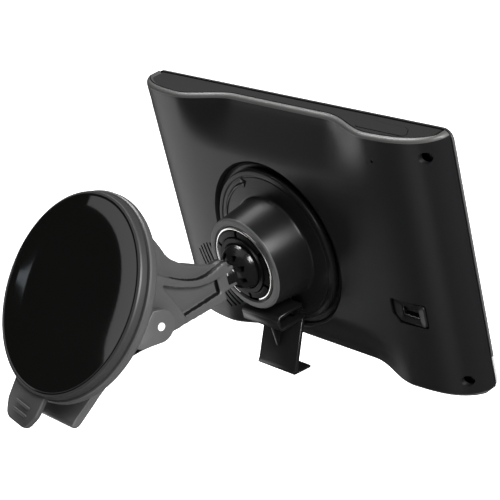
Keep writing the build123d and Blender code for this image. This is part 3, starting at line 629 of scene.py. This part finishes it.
def cover_rows():
    """Heights of the rows up the cover, each with how far its edge is pulled forward."""
    flat = half_height - edge_drop
    rows = [(-flat + 2 * flat * i / 96, 0.0) for i in range(97)]
    rim = []
    for i in range(1, 8):
        turn = pi / 2 * i / 7
        rim.append((flat + edge_drop * sin(turn), edge_reach * (1 - cos(turn))))
    return [(-z, pull) for z, pull in reversed(rim)] + rows + rim


def cover_shell():
    """Closed shell of the rear cover: the outer skin with its rounded rims, and the inner skin."""
    columns = 140
    wall = 1.1
    outer = []
    for z, pull in cover_rows():
        over = max(0.0, abs(z) - (half_height - corner))
        edge = half_width - corner + sqrt(max(0.0, corner ** 2 - over ** 2))
        row = []
        for i in range(columns + 1):
            x = edge * sin(pi / 2 * (2 * i / columns - 1))
            depth = rear_depth(x, z)
            held = min(1.0, (depth - seam) / 3.0)
            row.append((-x, z, max(cover_foot + 0.1, depth - pull * held)))
        left = [(edge, z, cover_foot), (edge, z, cover_foot + gap_shade_width)]
        row[0] = (edge, z, max(row[0][2], cover_foot + 2 * gap_shade_width))
        row[-1] = (-edge, z, max(row[-1][2], cover_foot + 2 * gap_shade_width))
        outer.append(left + row + [(-x, y, depth) for x, y, depth in reversed(left)])
    in_x = 1 - wall / half_width
    in_z = 1 - wall / half_height
    inner = [[(x * in_x, z * in_z, max(cover_foot, depth - wall)) for x, z, depth in row] for row in outer]
    wide = len(outer[0])
    start = wide * len(outer)
    last = start - wide
    verts = [point for row in outer + inner for point in row]
    faces = []
    for j in range(len(outer) - 1):
        for i in range(wide - 1):
            k = j * wide + i
            faces.append((k, k + 1, k + wide + 1, k + wide))
            faces.append((start + k, start + k + wide, start + k + wide + 1, start + k + 1))
    for i in range(wide - 1):
        faces.append((i, start + i, start + i + 1, i + 1))
        faces.append((last + i, last + i + 1, start + last + i + 1, start + last + i))
    for j in range(len(outer) - 1):
        low, high = j * wide, (j + 1) * wide
        faces.append((low, high, start + high, start + low))
        faces.append((low + wide - 1, start + low + wide - 1, start + high + wide - 1, high + wide - 1))
    return verts, faces


def arc_slot(row):
    """One curved loudspeaker slot of the round grille."""
    reach = speaker_reach + row * grille_pitch
    half = sqrt(grille_radius ** 2 - (row * grille_pitch) ** 2) / reach
    turns = [radians(speaker_angle) + half * (i / 8 - 1) for i in range(17)]
    outer = [(reach + grille_slot / 2, s) for s in turns]
    inner = [(reach - grille_slot / 2, s) for s in reversed(turns)]
    return [(dock_u + r * cos(s), dock_v + r * sin(s)) for r, s in outer + inner]


usb_outline = [(-7.2, 4.2), (-7.2, -1.8), (-4.8, -4.2), (7.2, -4.2), (7.2, 4.2)]


def make_cover():
    """Rear cover: moulded shell with its openings, then the wells behind them."""
    cover = shape("rear_shell", cover_shell(), REAR)
    cutters = [prism(circle(30.4, 160, (dock_u, dock_v)), 6, 30)]
    cutters.append(prism(rounded([(usb[0] + u, usb[1] + v) for u, v in usb_outline], 1.2, 6), 5, 30))
    for u in (-screw_u, screw_u):
        for v in (-screw_v, screw_v):
            cutters.append(prism(circle(1.8, 40, (u, v)), 2.6, 30))
    cutters += [prism(arc_slot(row), 6, 30) for row in range(-2, 3)]
    cutters.append(prism(circle(0.5, 16, mic), 6, 30))
    cut(cover, cutters, REAR)
    dress(cover, "navigator", "cover_plastic", None, ("rear_cover",))
    # near-black lines of painted shade stand for the shade in the gaps beside the panels and the bezel, and a
    # lighter band of painted light covers the rounded edges
    cover.data.materials.append(finish["painted_edge_light"])
    cover.data.materials.append(finish["gap_shade"])
    for face in cover.data.polygons:
        point = REAR.inverted() @ face.center
        if abs(point.y) > half_height - 0.03 or point.z < cover_foot + gap_shade_width:
            face.material_index = 2
        elif abs(point.y) > half_height - edge_drop:
            face.material_index = 1

    recess = [(14.0, 31.0), (14.05, 30.5), (13.3, 29.7), (12.5, 29.3), (12.1, 28.4),
              (12.1, 0), (11.3, 0), (11.3, 31.0)]
    well = shape("dock_recess", lathe(rounded(recess, [0, 0.2, 0.4, 0.6, 0.4, 0, 0, 0], 4), 160), DOCK)
    settle(well, 40)
    dress(well, "navigator", "cover_plastic")

    loops = []
    for scale, depth in ((1.08, 12.0), (1.0, 12.2), (0.95, 12.2), (0.93, 13.15), (0.88, 13.3), (0.8, 13.2)):
        outline = [(usb[0] + u * scale, usb[1] + v * scale) for u, v in usb_outline]
        loops.append((rounded(outline, 1.8 * scale, 6), depth))
    # the mouth leaves the left and lower edges of the metal shell in view
    for left, right, top, low, depth in ((4.2, 3.7, 1.9, 2.3, 12.6), (4.0, 3.4, 1.5, 2.1, 12.5),
                                         (4.0, 3.4, 1.5, 2.1, 9.5)):
        mouth = [(-left, top), (-left, 0.3 - low), (0.3 - left, -low), (right, -low), (right, top)]
        outline = [(usb[0] + u, usb[1] + v) for u, v in mouth]
        loops.append((rounded(outline, 0.2, 6), depth))
    inlet = shape("inlet_recess", loft(loops, False), REAR)
    settle(inlet, 30)
    dress(inlet, "navigator", "cover_plastic")

    wells = []
    for u in (-screw_u, screw_u):
        for v in (-screw_v, screw_v):
            tube = [(6.4, 2.6), (6.4, 1.9), (5.4, 1.85), (5.4, 0), (5.0, 0), (5.0, 2.6)]
            verts, faces = lathe(tube, 40)
            wells.append(([(x + u, y + v, z) for x, y, z in verts], faces))
    holes = shape("screw_wells", joined(*wells), REAR)
    settle(holes)
    dress(holes, "navigator", "cover_plastic")


make_pad()
make_base()
make_arm()
make_ball()
make_lever()
make_dock()
make_latch()
make_cover()

# ------------------------------------------------------------ floor, light and camera
floor_drop = 0.16
floor_mesh = bpy.data.meshes.new("floor")
reach = 6.0
floor_z = cad_box[0].z - floor_drop
floor_mesh.from_pydata([(-reach, -reach, floor_z), (reach, -reach, floor_z), (reach, reach, floor_z),
                        (-reach, reach, floor_z)], [], [(0, 1, 2, 3)])
floor = bpy.data.objects.new("floor", floor_mesh)
bpy.context.scene.collection.objects.link(floor)
pale = plastic("pale floor", (0.9, 0.9, 0.9), 0.9, 4, 0.0, 300, 0.01, 0.1)
pale.node_tree.nodes["Principled BSDF"].inputs["Emission Color"].default_value = (1, 1, 1, 1)
pale.node_tree.nodes["Principled BSDF"].inputs["Emission Strength"].default_value = 1.0
floor_mesh.materials.append(pale)
floor.visible_glossy = False

world = bpy.data.worlds.new("studio")
bpy.context.scene.world = world
world.use_nodes = True
world.node_tree.nodes["Background"].inputs["Color"].default_value = (1, 1, 1, 1)
world.node_tree.nodes["Background"].inputs["Strength"].default_value = 0.05

view_turn = radians(-35.66)
view_drop = radians(-25.65)
view_roll = radians(-13.8)
camera_at = Vector((-0.4134, 0.2270, 0.2242))
forward = Vector((cos(view_turn) * cos(view_drop), sin(view_turn) * cos(view_drop), sin(view_drop)))
level = forward.cross(Z).normalized()
upright = level.cross(forward)
right = level * cos(view_roll) + upright * sin(view_roll)
above = right.cross(forward)

camera_data = bpy.data.cameras.new("camera")
camera_data.lens = 123.9
camera_data.sensor_width = 36
camera_data.clip_start = 0.01
camera_data.clip_end = 30
camera = bpy.data.objects.new("camera", camera_data)
bpy.context.scene.collection.objects.link(camera)
camera.matrix_world = Matrix.Translation(camera_at) @ Matrix((right, above, -forward)).transposed().to_4x4()
bpy.context.scene.camera = camera


def softbox(name, target, azimuth, elevation, distance, size, power, colour=(1, 1, 1), roll=0):
    """Area light seen from the target at this azimuth and elevation, turned by roll."""
    az, el = radians(azimuth), radians(elevation)
    direction = Vector((cos(az) * cos(el), sin(az) * cos(el), sin(el)))
    data = bpy.data.lights.new(name, "AREA")
    data.shape = "RECTANGLE"
    data.size, data.size_y = size
    data.energy = power
    data.color = colour
    lamp = bpy.data.objects.new(name, data)
    bpy.context.scene.collection.objects.link(lamp)
    lamp.location = target + direction * distance
    lamp.rotation_mode = "QUATERNION"
    turn = Matrix.Rotation(radians(roll), 4, "Z").to_quaternion()
    lamp.rotation_quaternion = direction.to_track_quat("Z", "Y") @ turn


softbox("far_side", ORIGIN, 26.5, 12.1, 0.8, (0.268, 0.16), 0.118, roll=22)
# the pad's dish stretches reflections along its rim, so the glint comes from thin nested lights
for step in range(6):
    wide = 0.008 + 0.006 * step
    thin = 0.09 * wide
    softbox(f"glint_{step}", ORIGIN, 37.2, 25.0, 0.8, (wide, thin), 5.0 * wide * thin, (0.8, 0.9, 1.0), 33)
softbox("top", ball, 100, 75, 0.9, (0.7, 0.5), 1.2)
softbox("collar", ball, -20, 62, 0.8, (0.12, 0.35), 6)
softbox("camera_side", ball, -175, 36, 0.9, (0.35, 0.35), 17)
softbox("left_low", ball, 19, -18, 0.5, (0.26, 0.34), 0.55)
softbox("low_front", ball, 97, -14, 0.5, (0.25, 0.4), 0.35)

bpy.context.scene.view_settings.view_transform = "Standard"
